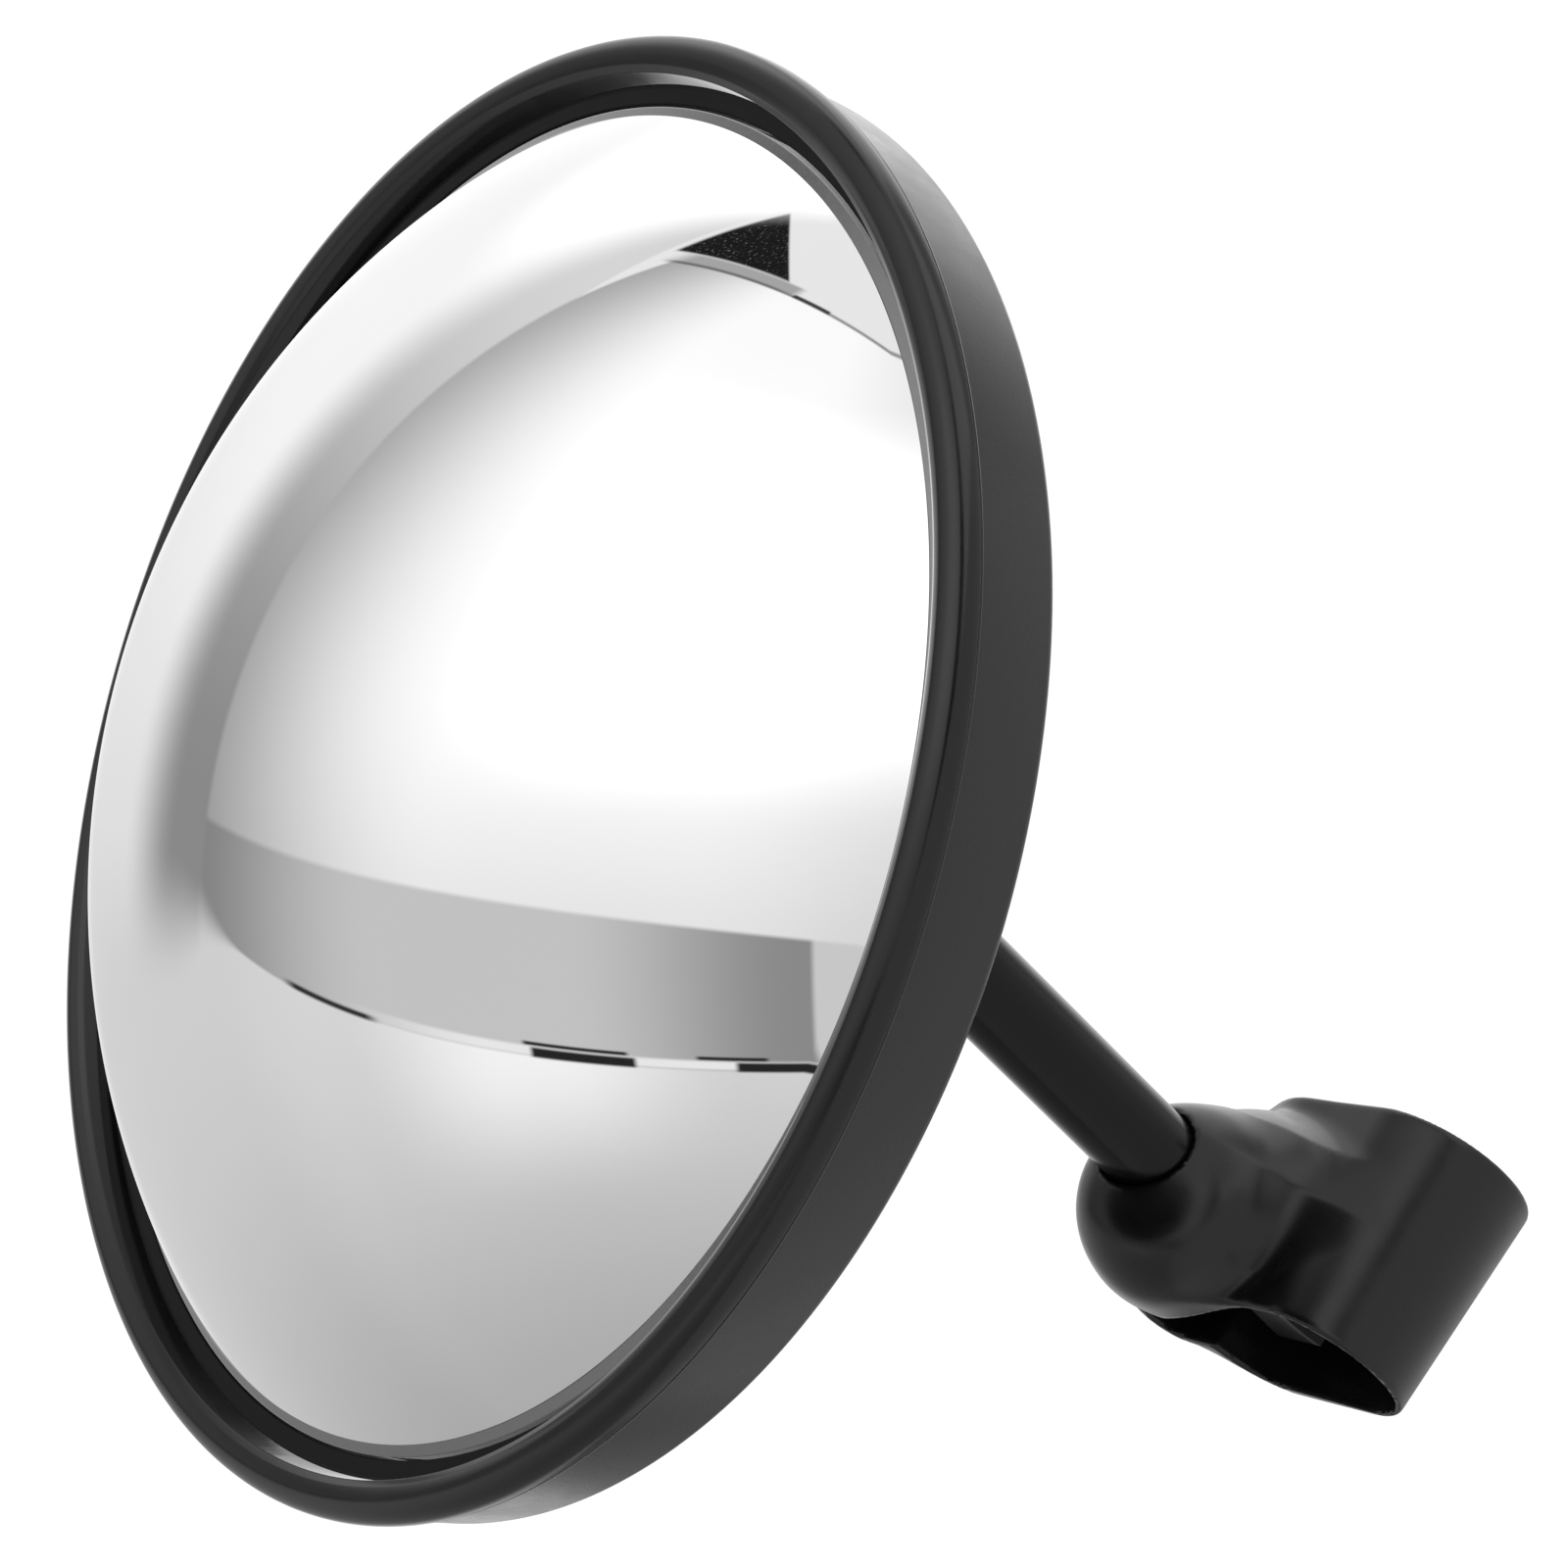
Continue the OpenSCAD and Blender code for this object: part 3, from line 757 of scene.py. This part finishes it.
# ---------------------------------------------------------------- camera
# The view axes are those of a camera that sees the mirror from its right and from below.
VIEW_RIGHT = Vector((0.5711, 0.1752, -0.8020))
VIEW_UP = Vector((0.7511, -0.5055, 0.4245))
VIEW_BACK = VIEW_RIGHT.cross(VIEW_UP)
camera = bpy.data.objects.new("camera", bpy.data.cameras.new("camera"))
camera.data.sensor_width = 36.0
camera.data.lens = 60.75
camera.matrix_world = basis(Vector((-0.1150, -0.34657, -0.05777)), VIEW_RIGHT, VIEW_UP, VIEW_BACK)
bpy.context.scene.collection.objects.link(camera)
bpy.context.scene.camera = camera


# ---------------------------------------------------------------- studio
# Directions are given as degrees round the tent: 0 points back past the camera, 90 to its left,
# 180 at the object; height is degrees above the level of the view.
DEGREES = 180 / math.pi
CORNER = 109.5
# Straight top edges of the tent, each as a plane's lean to the back and to the left.
WALL_TOP = (-2.03, 3.13)
SIDE_TOP = (6.16, -0.50)
CEILING = (0.70, 4.28)


class Tent:
    """The light tent's walls, table and openings as one brightness over direction."""

    def __init__(self, tree):
        g = self.g = Graph(tree)
        d = g.node("ShaderNodeTexCoord").outputs["Generated"]
        self.d = g.node("ShaderNodeVectorMath", {0: d}, operation="NORMALIZE").outputs[0]
        self.up = g.dot(self.d, VIEW_UP)
        self.left = g.dot(self.d, -VIEW_RIGHT)
        self.back = g.dot(self.d, VIEW_BACK)
        self.turn = g.math("MULTIPLY", g.math("ARCTAN2", self.left, self.back), DEGREES)
        self.height = g.math("MULTIPLY", g.math("ARCSINE", self.up), DEGREES)

    def over(self, edge):
        """Degrees above a straight rail whose plane leans by `edge` = (back, left)."""
        g = self.g
        lean = g.math("ADD", g.math("MULTIPLY", self.back, edge[0]),
                      g.math("MULTIPLY", self.left, -edge[1]))
        size = math.sqrt(1 + edge[0] ** 2 + edge[1] ** 2)
        return g.math("MULTIPLY", g.math("ADD", self.up, lean), DEGREES / size)

    def front_wall(self):
        g = self.g
        v = g.step(self.turn, 122, 66, 0.34, 1.10)
        hot = g.math("MULTIPLY", g.step(self.turn, 74, 48), g.step(self.height, 8, 30))
        hot = g.math("MULTIPLY", hot, g.step(self.height, 64, 44))
        v = g.math("ADD", v, g.math("MULTIPLY", hot, 0.6))
        v = g.math("MULTIPLY", v, g.step(self.height, -10, 26, 0.74, 1.0))
        v = g.math("MULTIPLY", v, g.step(self.turn, -6, 34, 0.78, 1.0))
        return g.math("MULTIPLY", v, g.step(self.height, 85, 45, 0.93, 1.0))

    def side_wall(self):
        g = self.g
        shade = g.step(self.height, 6, 62, 0.27, 0.72)
        lit = g.step(self.height, -8, 30, 0.74, 0.98)
        return g.lerp(g.step(self.turn, 117, 134), shade, lit)

    def skirt(self):
        g = self.g
        v = g.step(self.turn, 19, 50, 0.27, 0.58)
        v = g.lerp(g.step(self.turn, 18.5, 17.5), v, 0.62)
        return g.math("MULTIPLY", v, g.step(self.turn, 112, 76, 0.42, 1.0))

    def table(self):
        g = self.g
        v = g.step(self.height, -58, -8, 0.44, 0.72)
        glow = g.math("MULTIPLY", g.step(self.height, -34, -17), g.step(self.turn, 84, 58))
        glow = g.math("MULTIPLY", glow, g.step(self.turn, 26, 52))
        v = g.math("ADD", v, g.math("MULTIPLY", glow, 0.26))
        return g.math("MULTIPLY", v, g.step(self.turn, 88, 108, 1.0, 0.93))

    def between(self, x, low, high, soft=0.4):
        """1 where x is from low to high, with a soft edge."""
        g = self.g
        return g.math("MULTIPLY", g.step(x, low - soft, low + soft), g.step(x, high + soft, high - soft))

    def build(self):
        g = self.g
        v = self.front_wall()
        rail = self.over(WALL_TOP)
        # skirt below the front wall
        skirt_top = g.math("ADD", g.math("MULTIPLY", self.turn, 0.093), -5.6)
        v = g.lerp(g.step(g.math("SUBTRACT", self.height, skirt_top), 0.35, -0.35), v, self.skirt())
        # side wall past the corner
        v = g.lerp(g.step(self.turn, CORNER - 0.7, CORNER + 0.7), v, self.side_wall())
        # table, with a pale seam and dark slots along its far edge
        away = g.math("ADD", self.turn, -20.0)
        foot = g.math("ADD", g.math("MULTIPLY", g.math("MULTIPLY", away, away), 0.0021), -19.4)
        foot = g.lerp(g.step(self.turn, 109.0, 111.0), foot, -3.0)
        drop = g.math("SUBTRACT", self.height, foot)
        soft = g.step(self.turn, 100, 118, 0.2, 5.0)
        below = g.step(g.math("DIVIDE", drop, soft), 1.0, -1.0)
        v = g.lerp(below, v, self.table())
        seam = g.math("MULTIPLY", self.between(drop, 0.1, 1.1, 0.25), g.step(self.turn, 86, 60))
        v = g.lerp(seam, v, 0.86)
        thick = self.between(drop, -0.1, 1.0, 0.2)
        thin = self.between(drop, 1.2, 1.6, 0.15)
        for low, high, strip in ((18, 28, thick), (41, 55, thick), (24, 33, thin), (42, 56, thin)):
            v = g.lerp(g.math("MULTIPLY", self.between(self.turn, low, high, 0.5), strip), v, 0.02)
        slot = g.math("MULTIPLY", self.between(self.turn, 78, 92, 1.5),
                      self.between(drop, -0.1, 0.45, 0.2))
        v = g.lerp(slot, v, 0.03)
        # open top: pale ceiling, dark gap behind the rails, grey rail with a seam
        above = g.step(rail, -0.2, 0.2)
        above_side = g.step(self.over(SIDE_TOP), -0.3, 0.3)
        past = g.step(self.turn, CORNER - 0.7, CORNER + 0.7)
        open_top = g.lerp(past, above, above_side)
        v = g.lerp(open_top, v, 0.86)
        gap = g.math("MULTIPLY", g.step(rail, 1.3, 1.7), g.step(self.over(SIDE_TOP), 0.5, 1.2))
        gap = g.math("MULTIPLY", gap, g.step(self.over(CEILING), 0.1, -0.2))
        fluff = g.step(g.noise(self.d, 220.0, 2.0), 0.58, 0.75, 0.012, 0.16)
        v = g.lerp(g.math("MULTIPLY", gap, g.step(self.turn, 66, 74)), v, fluff)
        bar = g.math("MULTIPLY", self.between(rail, 0.0, 1.4, 0.2),
                     self.between(self.turn, 66, 110, 3.0))
        v = g.lerp(bar, v, 0.40)
        line = g.math("MULTIPLY", self.between(rail, -0.15, 0.2, 0.15), g.step(self.turn, 112, 108))
        v = g.lerp(line, v, g.step(self.turn, 60, 80, 0.30, 0.16))
        dash = g.math("MULTIPLY", self.between(rail, -0.1, 0.35, 0.15),
                      self.between(self.turn, 46, 66, 0.8))
        return g.lerp(dash, v, 0.05)

    def unseen(self, v):
        """The half that the mirror doesn't face: lens slit, right wall, far corner, dark table."""
        g = self.g
        right = g.step(self.turn, -72, -100, 1.5, 0.6)
        right = g.lerp(g.step(self.turn, -116, -150), right, 1.8)
        low = g.step(self.height, -16, 24, 0.36, 1.0)
        right = g.math("MULTIPLY", right, low)
        v = g.lerp(g.step(self.turn, -8, -16), v, right)
        slit = g.math("MULTIPLY", g.step(self.turn, -20, -8), g.step(self.turn, 5.5, 1.5))
        slit = g.math("MULTIPLY", slit, g.step(self.height, 80, 38))
        v = g.lerp(slit, v, 0.03)
        top = g.math("MULTIPLY", g.step(self.height, 40, 60), g.step(self.turn, 118, 150))
        v = g.lerp(top, v, 1.5)
        floor = g.math("MULTIPLY", g.step(self.height, -26, -46), g.step(self.turn, 30, 5))
        return g.lerp(floor, v, 0.34)


def studio_world():
    world = bpy.data.worlds.new("studio")
    bpy.context.scene.world = world
    world.use_nodes = True
    tent = Tent(world.node_tree)
    g = tent.g
    value = tent.build()
    # the sweep behind the object reflects as white, and camera rays see plain white everywhere
    value = tent.unseen(value)
    value = g.lerp(g.step(tent.turn, 152, 174), value, 1.1)
    seen = g.node("ShaderNodeLightPath").outputs["Is Camera Ray"]
    value = g.lerp(seen, value, 1.04)
    colour = g.node("ShaderNodeCombineColor", {0: value, 1: value, 2: value}).outputs[0]
    shade = g.node("ShaderNodeBackground", {"Color": colour, "Strength": 1.0})
    out = g.node("ShaderNodeOutputWorld")
    g.tree.links.new(shade.outputs[0], out.inputs[0])


studio_world()
bpy.context.scene.view_settings.view_transform = "Standard"

FLOOR_Z = -0.36
floor = lathe("floor", [(0, 0)] + [(r, 0) for r in (200, 500, 800, 1000)],
              Matrix.Translation((head_m.translation.x, head_m.translation.y, FLOOR_Z)), 96, closed=False)
fm, fg, fplace, fshader = material("pale_floor")
fabric = fg.noise(fplace, 60.0, 4.0)
link(fg, fg.mix(fabric, grey(0.86), grey(0.90)), fshader, "Base Color")
link(fg, fg.step(fabric, 0.3, 0.7, 0.6, 0.7), fshader, "Roughness")
dress(floor, fm)
